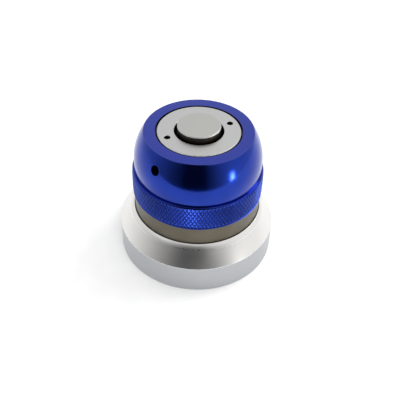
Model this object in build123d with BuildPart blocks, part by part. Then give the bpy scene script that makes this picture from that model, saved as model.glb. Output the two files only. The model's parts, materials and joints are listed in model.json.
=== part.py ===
from build123d import *
import math
import os

# Self-levelling impact tamper for 58 mm filter baskets, modelled in its own frame.
# Millimetres, +Z up. The origin is the centre of the levelling ring's bottom face,
# and every turned piece is coaxial with Z. The lock screw is on the front left.

# ---------------------------------------------------------------- driving dimensions
RING_R = 35.0              # outer radius of the levelling ring
RING_WALL_H = 13.35        # height of its upright wall
LIP_R = 30.4               # outer edge of the lip at the top of its cone
LIP_Z = 20.5
RING_TOP_Z = 22.1
EDGE = 0.3                 # broken edge on turned pieces

HANDLE_TRAVEL = 8.1        # handle pressed down through the ring
FOOT_TRAVEL = 5.0          # foot pushed up into the handle
PLATE_TRAVEL = 3.0         # adjuster plate screwed down
BUTTON_TRAVEL = 2.3
HAMMER_DROP = 3.0

RUN_FIT = 0.05             # radial clearance of a running fit
THREAD_FIT = 0.05          # radial clearance drawn at a threaded joint
FREE_GAP = 0.3             # clearance of pieces that never touch

BODY_R = 28.0              # inner body, which slides through the levelling ring
BODY_Z0 = 13.5
BODY_SHOULDER_Z = RING_TOP_Z + HANDLE_TRAVEL + FREE_GAP
BAND_R = 28.65             # grip band, which stands on the body's shoulder
BAND_TOP_Z = 42.4

DOME_FOOT_R = 27.45        # where the dome starts, just above the band
DOME_FOOT_Z = 43.3
DOME_ARC_R = 25.1          # radius of the dome's side, seen in section
TOP_EDGE_R = 23.2          # crisp edge between dome and flat top
TOP_Z = 60.6               # flat top

PLATE_R = 17.6             # adjuster plate, flush with the flat top
PLATE_H = 8.7
POCKET_R = 10.4            # pocket in the plate that the button works in
BUTTON_R = 9.1
BUTTON_TOP_Z = 63.2
SPANNER_PCD = 28.2
SPANNER_HOLE_R = 1.3
SPANNER_ANGLE = 24.0       # line through the two spanner holes, from +X

SHAFT_R = 7.0
SHAFT_BORE_R = 4.2
SHAFT_TOP_Z = 38.0
FOOT_R = 29.2              # for a 58.5 mm basket
FOOT_Z0 = 0.6
FOOT_H = 7.0
BALL_R = 2.0
BALL_COUNT = 3
BALL_Z = 26.5
BALL_PITCH_R = 6.2         # centre of a latch ball while the hammer is held

os.makedirs("parts", exist_ok=True)


def save(piece, name):
    """Label a finished piece and write its own STEP file."""
    piece.part.label = name
    export_step(piece.part, f"parts/{name}.step")


def coil(mean_r, wire, z_low, z_high, turns):
    """Round-wire compression spring whose wire lies between two heights."""
    with BuildPart() as spring:
        lift = z_high - z_low - wire
        with BuildLine(Plane.XY.offset(z_low + wire / 2)) as path:
            Helix(pitch=lift / turns, height=lift, radius=mean_r)
        start = Plane(origin=path.line @ 0, z_dir=path.line % 0)
        with BuildSketch(start):
            Circle(wire / 2)
        sweep(path=path.line, is_frenet=True)
    return spring


# ---------------------------------------------------------------- levelling ring group
WEAR_R = BODY_R + RUN_FIT          # bore of the wear ring, a running fit on the body
WEAR_OUT_R = 29.5
WEAR_Z0 = 17.2
WEAR_H = 3.0
MOUTH_R = BODY_R + 0.12            # lip of the ring, just clear of the body
CHAMBER_R = 31.2                   # spring chamber in the ring's underside
CHAMBER_TOP_Z = 16.2
RETAINER_R = 32.3                  # threaded seat at the mouth of the chamber
RETAINER_Z0 = 0.3
RETAINER_H = 2.1
RETAINER_BORE_R = FOOT_R + FREE_GAP
CONE_START_R = RING_R - 0.15
CONE_START_Z = RING_WALL_H + 0.2

with BuildPart() as levelling_ring:
    with BuildSketch(Plane.XZ):
        with BuildLine():
            Polyline(
                (RETAINER_R + EDGE, 0),
                (RING_R - EDGE, 0),
                (RING_R, EDGE),
                (RING_R, RING_WALL_H),
                (CONE_START_R, CONE_START_Z),
                (LIP_R, LIP_Z),
                (MOUTH_R + EDGE, RING_TOP_Z),
                (MOUTH_R, RING_TOP_Z - EDGE),
                (MOUTH_R, WEAR_Z0 + WEAR_H),
                (WEAR_OUT_R, WEAR_Z0 + WEAR_H),
                (WEAR_OUT_R, WEAR_Z0),
                (MOUTH_R, WEAR_Z0),
                (MOUTH_R, CHAMBER_TOP_Z),
                (CHAMBER_R, CHAMBER_TOP_Z),
                (CHAMBER_R, RETAINER_Z0 + RETAINER_H),
                (RETAINER_R, RETAINER_Z0 + RETAINER_H),
                (RETAINER_R, EDGE),
                close=True,
            )
        make_face()
    revolve(axis=Axis.Z)
save(levelling_ring, "levelling_ring")

with BuildPart() as wear_ring:
    with BuildSketch(Plane.XY.offset(WEAR_Z0 + RUN_FIT)):
        Circle(WEAR_OUT_R - RUN_FIT)
        Circle(WEAR_R, mode=Mode.SUBTRACT)
    extrude(amount=WEAR_H - 2 * RUN_FIT)
    chamfer(wear_ring.edges(), 0.2)
save(wear_ring, "wear_ring")

SLOT_COUNT = 6
with BuildPart() as spring_retainer:
    with BuildSketch(Plane.XY.offset(RETAINER_Z0)):
        Circle(RETAINER_R - THREAD_FIT)
        Circle(RETAINER_BORE_R, mode=Mode.SUBTRACT)
    extrude(amount=RETAINER_H)
    with BuildSketch(Plane.XY.offset(RETAINER_Z0)):
        with PolarLocations(RETAINER_BORE_R, SLOT_COUNT):
            Rectangle(2.4, 3.0)
    extrude(amount=0.9, mode=Mode.SUBTRACT)
save(spring_retainer, "spring_retainer")

SNAP_Z0 = 14.2
SNAP_H = 1.2
LEVEL_WIRE = 0.8
LEVEL_MEAN_R = 30.4
levelling_spring = coil(LEVEL_MEAN_R, LEVEL_WIRE, RETAINER_Z0 + RETAINER_H, SNAP_Z0, 2.5)
save(levelling_spring, "levelling_spring")

# ---------------------------------------------------------------- handle group
SNAP_GROOVE_R = 26.8
with BuildPart() as body_snap_ring:
    with BuildSketch(Plane.XY.offset(SNAP_Z0)):
        Circle(CHAMBER_R - FREE_GAP)
        Circle(SNAP_GROOVE_R + RUN_FIT, mode=Mode.SUBTRACT)
        with Locations((0, SNAP_GROOVE_R + 2)):
            Rectangle(4.0, 8.0, mode=Mode.SUBTRACT)
    extrude(amount=SNAP_H)
save(body_snap_ring, "body_snap_ring")

WEB_TOP_Z = 17.0
HAMMER_ROOM_R = 21.0
SPIGOT_R = 24.2
SPIGOT_TOP_Z = 38.0
BUSH_R = 9.0
BUSH_FLANGE_R = 11.5
BUSH_FLANGE_H = 1.0

with BuildPart() as inner_body:
    with BuildSketch(Plane.XZ):
        with BuildLine():
            Polyline(
                (BUSH_R + THREAD_FIT, BODY_Z0),
                (BODY_R - EDGE, BODY_Z0),
                (BODY_R, BODY_Z0 + EDGE),
                (BODY_R, SNAP_Z0 - RUN_FIT),
                (SNAP_GROOVE_R, SNAP_Z0 - RUN_FIT),
                (SNAP_GROOVE_R, SNAP_Z0 + SNAP_H + RUN_FIT),
                (BODY_R, SNAP_Z0 + SNAP_H + RUN_FIT),
                (BODY_R, BODY_SHOULDER_Z - EDGE),
                (BODY_R - EDGE, BODY_SHOULDER_Z),
                (SPIGOT_R, BODY_SHOULDER_Z),
                (SPIGOT_R, SPIGOT_TOP_Z - 0.5),
                (SPIGOT_R - 0.5, SPIGOT_TOP_Z),
                (HAMMER_ROOM_R, SPIGOT_TOP_Z),
                (HAMMER_ROOM_R, WEB_TOP_Z),
                (BUSH_FLANGE_R + THREAD_FIT, WEB_TOP_Z),
                (BUSH_FLANGE_R + THREAD_FIT, WEB_TOP_Z - BUSH_FLANGE_H),
                (BUSH_R + THREAD_FIT, WEB_TOP_Z - BUSH_FLANGE_H),
                close=True,
            )
        make_face()
    revolve(axis=Axis.Z)
save(inner_body, "inner_body")

with BuildPart() as guide_bush:
    with BuildSketch(Plane.XZ):
        with BuildLine():
            Polyline(
                (SHAFT_R + RUN_FIT, BODY_Z0),
                (BUSH_R, BODY_Z0),
                (BUSH_R, WEB_TOP_Z - BUSH_FLANGE_H),
                (BUSH_FLANGE_R, WEB_TOP_Z - BUSH_FLANGE_H),
                (BUSH_FLANGE_R, WEB_TOP_Z),
                (SHAFT_R + RUN_FIT, WEB_TOP_Z),
                close=True,
            )
        make_face()
    revolve(axis=Axis.Z)
save(guide_bush, "guide_bush")

BUMPER_H = 0.9
with BuildPart() as bumper_washer:
    with BuildSketch(Plane.XY.offset(WEB_TOP_Z)):
        Circle(14.0)
        Circle(SHAFT_R + FREE_GAP, mode=Mode.SUBTRACT)
    extrude(amount=BUMPER_H)
save(bumper_washer, "bumper_washer")

SKIRT_R = 26.3
SKIRT_BORE_R = SPIGOT_R + THREAD_FIT
ROOF_Z = 47.5                      # underside of the thick part of the cap
CAVITY_R = 22.5
CAP_BORE_R = PLATE_R + THREAD_FIT
RELIEF_W = 0.65                    # relief groove around the plate
RELIEF_H = 1.6

# The dome's side is one arc through its foot and the top edge, bulging outwards.
chord_r = TOP_EDGE_R - DOME_FOOT_R
chord_z = TOP_Z - DOME_FOOT_Z
chord = math.hypot(chord_r, chord_z)
bulge = DOME_ARC_R - math.sqrt(DOME_ARC_R ** 2 - (chord / 2) ** 2)
dome_mid_r = (TOP_EDGE_R + DOME_FOOT_R) / 2 + bulge * chord_z / chord
dome_mid_z = (TOP_Z + DOME_FOOT_Z) / 2 - bulge * chord_r / chord

LOCK_ANGLE = 230.0                 # direction of the lock screw, from +X
LOCK_Z = 54.5
LOCK_R = 2.0
LOCK_HOLE_R = 2.1
LOCK_TIP_R = 18.2
LOCK_LENGTH = 5.0
lock_axis = Plane(
    origin=(0, 0, LOCK_Z),
    x_dir=(0, 0, 1),
    z_dir=(math.cos(math.radians(LOCK_ANGLE)), math.sin(math.radians(LOCK_ANGLE)), 0),
)

with BuildPart() as cap:
    with BuildSketch(Plane.XZ):
        with BuildLine():
            Polyline(
                (TOP_EDGE_R, TOP_Z),
                (CAP_BORE_R + RELIEF_W, TOP_Z),
                (CAP_BORE_R + RELIEF_W, TOP_Z - RELIEF_H),
                (CAP_BORE_R, TOP_Z - RELIEF_H),
                (CAP_BORE_R, ROOF_Z),
                (CAVITY_R, ROOF_Z - 3.0),
                (CAVITY_R, SPIGOT_TOP_Z + FREE_GAP),
                (SKIRT_BORE_R, SPIGOT_TOP_Z + FREE_GAP),
                (SKIRT_BORE_R, BODY_SHOULDER_Z),
                (SKIRT_R, BODY_SHOULDER_Z),
                (SKIRT_R, BAND_TOP_Z),
                (DOME_FOOT_R, BAND_TOP_Z),
                (DOME_FOOT_R, DOME_FOOT_Z),
            )
            ThreePointArc((DOME_FOOT_R, DOME_FOOT_Z), (dome_mid_r, dome_mid_z), (TOP_EDGE_R, TOP_Z))
        make_face()
    revolve(axis=Axis.Z)
    with BuildSketch(lock_axis):
        Circle(LOCK_HOLE_R)
    extrude(amount=RING_R, mode=Mode.SUBTRACT)
save(cap, "cap")

LOCK_SOCKET_R = 1.15
with BuildPart() as lock_screw:
    with BuildSketch(lock_axis.offset(LOCK_TIP_R)):
        Circle(LOCK_R)
    extrude(amount=LOCK_LENGTH)
    chamfer(lock_screw.edges().filter_by(GeomType.CIRCLE), 0.3)
    with BuildSketch(lock_axis.offset(LOCK_TIP_R + LOCK_LENGTH)):
        RegularPolygon(LOCK_SOCKET_R, 6)
    extrude(amount=-2.0, mode=Mode.SUBTRACT)
save(lock_screw, "lock_screw")

BAND_BORE_R = SKIRT_R + THREAD_FIT
BAND_CHAMFER = 0.6
with BuildPart() as knurled_band:
    with BuildSketch(Plane.XZ):
        with BuildLine():
            Polyline(
                (BAND_BORE_R, BODY_SHOULDER_Z),
                (BAND_R - EDGE, BODY_SHOULDER_Z),
                (BAND_R, BODY_SHOULDER_Z + EDGE),
                (BAND_R, BAND_TOP_Z - BAND_CHAMFER),
                (BAND_R - BAND_CHAMFER, BAND_TOP_Z),
                (BAND_BORE_R, BAND_TOP_Z),
                close=True,
            )
        make_face()
    revolve(axis=Axis.Z)
save(knurled_band, "knurled_band")

# ---------------------------------------------------------------- foot group
FOOT_TOP_Z = FOOT_Z0 + FOOT_H
TAIL_R = 6.0                       # threaded tail of the shaft
TAIL_Z0 = 2.6
NUT_ROOM_R = 13.0
NUT_ROOM_Z = 4.5
with BuildPart() as foot:
    with BuildSketch(Plane.XZ):
        with BuildLine():
            Polyline(
                (0, FOOT_Z0),
                (FOOT_R - 0.5, FOOT_Z0),
                (FOOT_R, FOOT_Z0 + 0.5),
                (FOOT_R, FOOT_TOP_Z - 0.8),
                (FOOT_R - 0.8, FOOT_TOP_Z),
                (NUT_ROOM_R, FOOT_TOP_Z),
                (NUT_ROOM_R, NUT_ROOM_Z),
                (TAIL_R + THREAD_FIT, NUT_ROOM_Z),
                (TAIL_R + THREAD_FIT, TAIL_Z0 - 0.2),
                (0, TAIL_Z0 - 0.2),
                close=True,
            )
        make_face()
    revolve(axis=Axis.Z)
save(foot, "foot")

NUT_H = 3.0
NUT_CORNER_R = 11.0
with BuildPart() as foot_jam_nut:
    with BuildSketch(Plane.XY.offset(NUT_ROOM_Z)):
        RegularPolygon(NUT_CORNER_R, 6)
        Circle(TAIL_R + THREAD_FIT, mode=Mode.SUBTRACT)
    extrude(amount=NUT_H)
save(foot_jam_nut, "foot_jam_nut")

ANVIL_R = 13.0
ANVIL_Z0 = WEB_TOP_Z + BUMPER_H
ANVIL_TOP_Z = 20.2
SHAFT_SHOULDER_Z = NUT_ROOM_Z + NUT_H + 0.1
BORE_FLOOR_Z = 8.0
with BuildPart() as shaft:
    with BuildSketch(Plane.XZ):
        with BuildLine():
            Polyline(
                (0, TAIL_Z0),
                (TAIL_R - 0.5, TAIL_Z0),
                (TAIL_R, TAIL_Z0 + 0.5),
                (TAIL_R, SHAFT_SHOULDER_Z),
                (SHAFT_R, SHAFT_SHOULDER_Z),
                (SHAFT_R, ANVIL_Z0),
                (ANVIL_R, ANVIL_Z0),
                (ANVIL_R, ANVIL_TOP_Z),
                (SHAFT_R, ANVIL_TOP_Z),
                (SHAFT_R, SHAFT_TOP_Z - 0.5),
                (SHAFT_R - 0.5, SHAFT_TOP_Z),
                (SHAFT_BORE_R, SHAFT_TOP_Z),
                (SHAFT_BORE_R, BORE_FLOOR_Z),
                (0, BORE_FLOOR_Z),
                close=True,
            )
        make_face()
    revolve(axis=Axis.Z)
    for k in range(BALL_COUNT):
        angle = math.radians(360 / BALL_COUNT * k)
        ball_axis = Plane(
            origin=(0, 0, BALL_Z),
            x_dir=(0, 0, 1),
            z_dir=(math.cos(angle), math.sin(angle), 0),
        )
        with BuildSketch(ball_axis):
            Circle(BALL_R + RUN_FIT)
        extrude(amount=SHAFT_R + 1, mode=Mode.SUBTRACT)
save(shaft, "shaft")

for k in range(BALL_COUNT):
    angle = math.radians(360 / BALL_COUNT * k)
    centre = (BALL_PITCH_R * math.cos(angle), BALL_PITCH_R * math.sin(angle), BALL_Z)
    with BuildPart() as trip_ball:
        with Locations(centre):
            Sphere(BALL_R)
    save(trip_ball, f"trip_ball_{k + 1}")

HAMMER_R = 20.0
HAMMER_Z0 = ANVIL_TOP_Z + HAMMER_DROP + 0.2
HAMMER_STEP_Z = 28.5
HUB_R = 13.4
HUB_TOP_Z = 35.0
HAMMER_BORE_R = SHAFT_R + RUN_FIT
CONE_TOP_Z = BALL_Z + 3.3          # the release cone starts here
CONE_SLOPE = 0.4                   # radius gained per millimetre downwards
RESET_ROOM_R0 = 10.7               # groove for the reset spring
RESET_ROOM_R1 = 13.2
RESET_ROOM_TOP_Z = 26.6
with BuildPart() as hammer:
    with BuildSketch(Plane.XZ):
        with BuildLine():
            Polyline(
                (HAMMER_BORE_R + CONE_SLOPE * (CONE_TOP_Z - HAMMER_Z0), HAMMER_Z0),
                (RESET_ROOM_R0, HAMMER_Z0),
                (RESET_ROOM_R0, RESET_ROOM_TOP_Z),
                (RESET_ROOM_R1, RESET_ROOM_TOP_Z),
                (RESET_ROOM_R1, HAMMER_Z0),
                (HAMMER_R - 0.6, HAMMER_Z0),
                (HAMMER_R, HAMMER_Z0 + 0.6),
                (HAMMER_R, HAMMER_STEP_Z - 0.4),
                (HAMMER_R - 0.4, HAMMER_STEP_Z),
                (HUB_R, HAMMER_STEP_Z),
                (HUB_R, HUB_TOP_Z - 0.6),
                (HUB_R - 0.6, HUB_TOP_Z),
                (HAMMER_BORE_R, HUB_TOP_Z),
                (HAMMER_BORE_R, CONE_TOP_Z),
                close=True,
            )
        make_face()
    revolve(axis=Axis.Z)
save(hammer, "hammer")

RESET_WIRE = 0.8
RESET_MEAN_R = 11.95
reset_spring = coil(RESET_MEAN_R, RESET_WIRE, ANVIL_TOP_Z, RESET_ROOM_TOP_Z, 3.0)
save(reset_spring, "reset_spring")

# ---------------------------------------------------------------- adjuster and trip group
PLATE_Z0 = TOP_Z - PLATE_H
WASHER_H = 1.5
WASHER_Z0 = PLATE_Z0 - WASHER_H
MAIN_WIRE = 2.6
MAIN_MEAN_R = 15.4
main_spring = coil(MAIN_MEAN_R, MAIN_WIRE, HAMMER_STEP_Z, WASHER_Z0, 4.0)
save(main_spring, "main_spring")

with BuildPart() as thrust_washer:
    with BuildSketch(Plane.XY.offset(WASHER_Z0)):
        Circle(PLATE_R - 0.6)
        Circle(POCKET_R, mode=Mode.SUBTRACT)
    extrude(amount=WASHER_H)
save(thrust_washer, "thrust_washer")

FLOOR_TOP_Z = PLATE_Z0 + 2.7
SPINDLE_R = 2.85
SPINDLE_BUSH_R = 4.6
SPANNER_DEPTH = 4.0
with BuildPart() as adjuster_plate:
    with BuildSketch(Plane.XZ):
        with BuildLine():
            Polyline(
                (SPINDLE_BUSH_R + THREAD_FIT, PLATE_Z0),
                (PLATE_R - EDGE, PLATE_Z0),
                (PLATE_R, PLATE_Z0 + EDGE),
                (PLATE_R, TOP_Z - EDGE),
                (PLATE_R - EDGE, TOP_Z),
                (POCKET_R + 0.2, TOP_Z),
                (POCKET_R, TOP_Z - 0.2),
                (POCKET_R, FLOOR_TOP_Z),
                (SPINDLE_BUSH_R + THREAD_FIT, FLOOR_TOP_Z),
                close=True,
            )
        make_face()
    revolve(axis=Axis.Z)
    with BuildSketch(Plane.XY.offset(TOP_Z)):
        with PolarLocations(SPANNER_PCD / 2, 2, start_angle=SPANNER_ANGLE):
            Circle(SPANNER_HOLE_R)
    extrude(amount=-SPANNER_DEPTH, mode=Mode.SUBTRACT)
save(adjuster_plate, "adjuster_plate")

with BuildPart() as spindle_bush:
    with BuildSketch(Plane.XY.offset(PLATE_Z0)):
        Circle(SPINDLE_BUSH_R)
        Circle(SPINDLE_R + RUN_FIT, mode=Mode.SUBTRACT)
    extrude(amount=FLOOR_TOP_Z - PLATE_Z0)
save(spindle_bush, "spindle_bush")

BUTTON_Z0 = FLOOR_TOP_Z + BUTTON_TRAVEL + FREE_GAP
BUTTON_ROOF_Z = BUTTON_TOP_Z - 1.8
BUTTON_ROOM_R = 7.6
BUTTON_BOSS_R = 4.4
with BuildPart() as button:
    with BuildSketch(Plane.XZ):
        with BuildLine():
            Polyline(
                (SPINDLE_R + THREAD_FIT, BUTTON_Z0),
                (BUTTON_BOSS_R, BUTTON_Z0),
                (BUTTON_BOSS_R, BUTTON_ROOF_Z),
                (BUTTON_ROOM_R, BUTTON_ROOF_Z),
                (BUTTON_ROOM_R, BUTTON_Z0),
                (BUTTON_R, BUTTON_Z0),
                (BUTTON_R, BUTTON_TOP_Z - 0.35),
                (BUTTON_R - 0.35, BUTTON_TOP_Z),
                (0, BUTTON_TOP_Z),
                (0, BUTTON_ROOF_Z),
                (SPINDLE_R + THREAD_FIT, BUTTON_ROOF_Z),
                close=True,
            )
        make_face()
    revolve(axis=Axis.Z)
save(button, "button")

BUTTON_WIRE = 0.7
BUTTON_MEAN_R = 6.0
button_spring = coil(BUTTON_MEAN_R, BUTTON_WIRE, FLOOR_TOP_Z, BUTTON_ROOF_Z, 4.0)
save(button_spring, "button_spring")

# Land that holds the balls out, with a relief above it long enough for every travel.
LAND_R = SHAFT_BORE_R - RUN_FIT
LAND_TOP_Z = BALL_Z - 0.45
SPINDLE_Z0 = BORE_FLOOR_Z + FOOT_TRAVEL + BUTTON_TRAVEL + PLATE_TRAVEL + 0.4
CLIP_GROOVE_R = 2.3
CLIP_Z0 = PLATE_Z0 - 1.0
CLIP_H = 0.8
with BuildPart() as trip_spindle:
    with BuildSketch(Plane.XZ):
        with BuildLine():
            Polyline(
                (0, SPINDLE_Z0),
                (LAND_R - 0.5, SPINDLE_Z0),
                (LAND_R, SPINDLE_Z0 + 0.5),
                (LAND_R, LAND_TOP_Z),
                (SPINDLE_R, LAND_TOP_Z),
                (SPINDLE_R, CLIP_Z0 - RUN_FIT),
                (CLIP_GROOVE_R, CLIP_Z0 - RUN_FIT),
                (CLIP_GROOVE_R, CLIP_Z0 + CLIP_H + RUN_FIT),
                (SPINDLE_R, CLIP_Z0 + CLIP_H + RUN_FIT),
                (SPINDLE_R, BUTTON_ROOF_Z - 0.1),
                (0, BUTTON_ROOF_Z - 0.1),
                close=True,
            )
        make_face()
    revolve(axis=Axis.Z)
save(trip_spindle, "trip_spindle")

with BuildPart() as spindle_clip:
    with BuildSketch(Plane.XY.offset(CLIP_Z0)):
        Circle(5.2)
        Circle(CLIP_GROOVE_R + RUN_FIT, mode=Mode.SUBTRACT)
        with Locations((4.0, 0)):
            Rectangle(8.0, 3.2, mode=Mode.SUBTRACT)
    extrude(amount=CLIP_H)
save(spindle_clip, "spindle_clip")
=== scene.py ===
import json
import logging
import math
from contextlib import contextmanager
from dataclasses import dataclass, field
from enum import Enum
from typing import Callable, Iterable, Iterator

import bmesh
import bpy
from mathutils import Matrix, Vector


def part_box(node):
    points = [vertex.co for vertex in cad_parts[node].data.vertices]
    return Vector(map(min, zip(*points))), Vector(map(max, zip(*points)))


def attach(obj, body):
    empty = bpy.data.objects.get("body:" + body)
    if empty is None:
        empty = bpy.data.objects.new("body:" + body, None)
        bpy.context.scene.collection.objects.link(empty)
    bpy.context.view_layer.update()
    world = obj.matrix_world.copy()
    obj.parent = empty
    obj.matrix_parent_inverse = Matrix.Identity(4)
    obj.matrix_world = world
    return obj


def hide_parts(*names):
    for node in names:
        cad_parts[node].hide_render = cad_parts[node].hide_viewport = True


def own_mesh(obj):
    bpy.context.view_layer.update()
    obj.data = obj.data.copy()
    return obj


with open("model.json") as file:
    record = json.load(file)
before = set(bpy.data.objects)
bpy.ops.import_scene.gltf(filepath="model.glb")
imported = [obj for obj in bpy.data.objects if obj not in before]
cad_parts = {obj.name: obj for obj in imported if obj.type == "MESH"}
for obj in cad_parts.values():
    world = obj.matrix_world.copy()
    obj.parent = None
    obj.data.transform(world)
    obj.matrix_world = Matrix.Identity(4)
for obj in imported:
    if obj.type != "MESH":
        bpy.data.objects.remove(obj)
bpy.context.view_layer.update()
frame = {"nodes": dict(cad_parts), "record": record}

# Looks of a self-levelling impact tamper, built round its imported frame. Metres, +Z up.
# Every turned piece is coaxial with Z; the front of the tool faces -Y.

MM = 0.001
SEGMENTS = 288                  # steps round a turned piece
SEAM = 0.02 * MM                # gap between two stretches of one spring
MERGE = 1e-7                    # points nearer than this are one
LOG = logging.getLogger("tamper")

Point = tuple[float, float]
Colour = tuple[float, float, float]


class Body(str, Enum):
    """Rigid bodies of the frame that new pieces ride on."""

    RING = "ring"
    HANDLE = "handle"
    FOOT = "foot"
    CARRIER = "carrier"
    ADJUSTER = "adjuster"
    BUTTON = "button"


class Shading(Enum):
    """Sharpest angle, in degrees, over which a finished mesh is shaded smooth."""

    CRISP = 25.0
    ROUND = 60.0


# ---------------- modelling helpers
def deselect_all() -> None:
    """Leave edit mode and drop every selection."""
    if bpy.context.object and bpy.context.object.mode != "OBJECT":
        bpy.ops.object.mode_set(mode="OBJECT")
    bpy.ops.object.select_all(action="DESELECT")


def activate(piece: bpy.types.Object) -> None:
    """Make one object the only selected and the active one."""
    deselect_all()
    piece.select_set(True)
    bpy.context.view_layer.objects.active = piece


@contextmanager
def editing(piece: bpy.types.Object) -> Iterator[None]:
    """Edit one object, with its whole mesh selected at the start.

    Args:
        piece: the object to edit.
    """
    activate(piece)
    bpy.ops.object.mode_set(mode="EDIT")
    bpy.ops.mesh.select_mode(type="VERT")
    bpy.ops.mesh.select_all(action="SELECT")
    yield
    bpy.ops.object.mode_set(mode="OBJECT")


def settle(piece: bpy.types.Object) -> None:
    """Move an object's place into its mesh, so that it sits at the origin unturned."""
    activate(piece)
    bpy.ops.object.transform_apply(location=True, rotation=True, scale=True)


def apply_modifier(piece: bpy.types.Object, kind: str, **settings: object) -> None:
    """Add one modifier with its settings and apply it.

    Args:
        piece: the object that is changed.
        kind: Blender's modifier type, such as BEVEL.
        settings: attributes set on the modifier before it is applied.
    """
    activate(piece)
    modifier = piece.modifiers.new(kind.lower(), kind)
    for key, value in settings.items():
        setattr(modifier, key, value)
    bpy.ops.object.modifier_apply(modifier=modifier.name)


def select_where(piece: bpy.types.Object, mode: str, test: Callable[[object], bool]) -> None:
    """Select vertices, edges or faces of the active mesh by a test, in edit mode.

    Args:
        piece: the object being edited.
        mode: VERT, EDGE or FACE.
        test: says of each element whether it is selected.
    """
    bpy.ops.mesh.select_mode(type=mode)
    bpy.ops.mesh.select_all(action="DESELECT")
    mesh = bmesh.from_edit_mesh(piece.data)
    layers = {"VERT": mesh.verts, "EDGE": mesh.edges, "FACE": mesh.faces}
    for element in layers[mode]:
        if test(element):
            element.select_set(True)
    mesh.select_flush_mode()
    bmesh.update_edit_mesh(piece.data)


def turn_outline(name: str, outline: list[Point], steps: int = SEGMENTS) -> bpy.types.Object:
    """Turn a closed outline about Z by extruding and resizing one ring of edges.

    Args:
        name: name of the finished object.
        outline: (radius, height) points; a first and last point at radius 0 close on the axis.
        steps: number of segments round the axis.

    Returns:
        The closed turned solid.
    """
    on_axis = outline[0][0] == 0.0
    route = outline[1:-1] if on_axis else outline + outline[:1]
    deselect_all()
    radius, height = route[0]
    bpy.ops.mesh.primitive_circle_add(vertices=steps, radius=radius, location=(0, 0, height))
    piece = bpy.context.object
    piece.name = name
    piece.data.name = name
    settle(piece)
    with editing(piece):
        if on_axis:
            bpy.ops.mesh.extrude_edges_move()
            bpy.ops.mesh.merge(type="CENTER")
            select_where(piece, "VERT", lambda v: v.co.xy.length > MERGE)
        for new_radius, new_height in route[1:]:
            bpy.ops.mesh.extrude_edges_move(
                TRANSFORM_OT_translate={"value": (0, 0, new_height - height)}
            )
            grow = new_radius / radius
            if grow != 1.0:
                bpy.ops.transform.resize(value=(grow, grow, 1), center_override=(0, 0, new_height))
            radius, height = new_radius, new_height
        if on_axis:
            bpy.ops.mesh.extrude_edges_move()
            bpy.ops.mesh.merge(type="CENTER")
        bpy.ops.mesh.select_all(action="SELECT")
        bpy.ops.mesh.remove_doubles(threshold=MERGE)
        bpy.ops.mesh.normals_make_consistent(inside=False)
    return piece


def soften_edges(piece: bpy.types.Object, width: float, segments: int) -> None:
    """Round every edge sharper than 28 degrees."""
    apply_modifier(
        piece,
        "BEVEL",
        width=width,
        segments=segments,
        limit_method="ANGLE",
        angle_limit=math.radians(28),
        use_clamp_overlap=True,
    )


def smooth(piece: bpy.types.Object, shading: Shading = Shading.CRISP) -> None:
    """Shade a piece smooth up to an angle, then weight its normals by face area.

    Args:
        piece: the object that is shaded.
        shading: the angle to use.
    """
    activate(piece)
    bpy.ops.object.shade_smooth_by_angle(angle=math.radians(shading.value))
    apply_modifier(piece, "WEIGHTED_NORMAL", keep_sharp=True, weight=80)


def turned_piece(
    name: str,
    outline: list[Point],
    rounding: float,
    segments: int = 2,
    drills: Iterable[bpy.types.Object] = (),
) -> bpy.types.Object:
    """Turn a piece, drill it, round its edges and shade it.

    Args:
        name: name of the finished object.
        outline: its closed outline, as (radius, height) points.
        rounding: width of the rounding on its edges.
        segments: number of faces across the rounding.
        drills: shapes that are cut out of the piece and then removed.

    Returns:
        The piece, without a finish.
    """
    piece = turn_outline(name, outline)
    for tool in drills:
        apply_modifier(piece, "BOOLEAN", operation="DIFFERENCE", solver="EXACT", object=tool)
        bpy.data.objects.remove(tool)
    soften_edges(piece, rounding, segments)
    smooth(piece)
    return piece


# ---------------- shader helpers
BLUR = 0.05 * MM                # half the width over which one finish passes into another
WHITE = (1.0, 1.0, 1.0)
DEGREES = 180 / math.pi


def srgb(*channels: int) -> Colour:
    """Linear colour of the three channels of an 8-bit screen colour."""
    shares = (channel / 255 for channel in channels)
    return tuple(k / 12.92 if k <= 0.04045 else ((k + 0.055) / 1.055) ** 2.4 for k in shares)


def paint(colour: Colour, strength: float = 1.0) -> tuple[float, ...]:
    """The colour times a strength, with an alpha of 1."""
    return (*(min(1.0, channel * strength) for channel in colour), 1.0)


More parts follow.
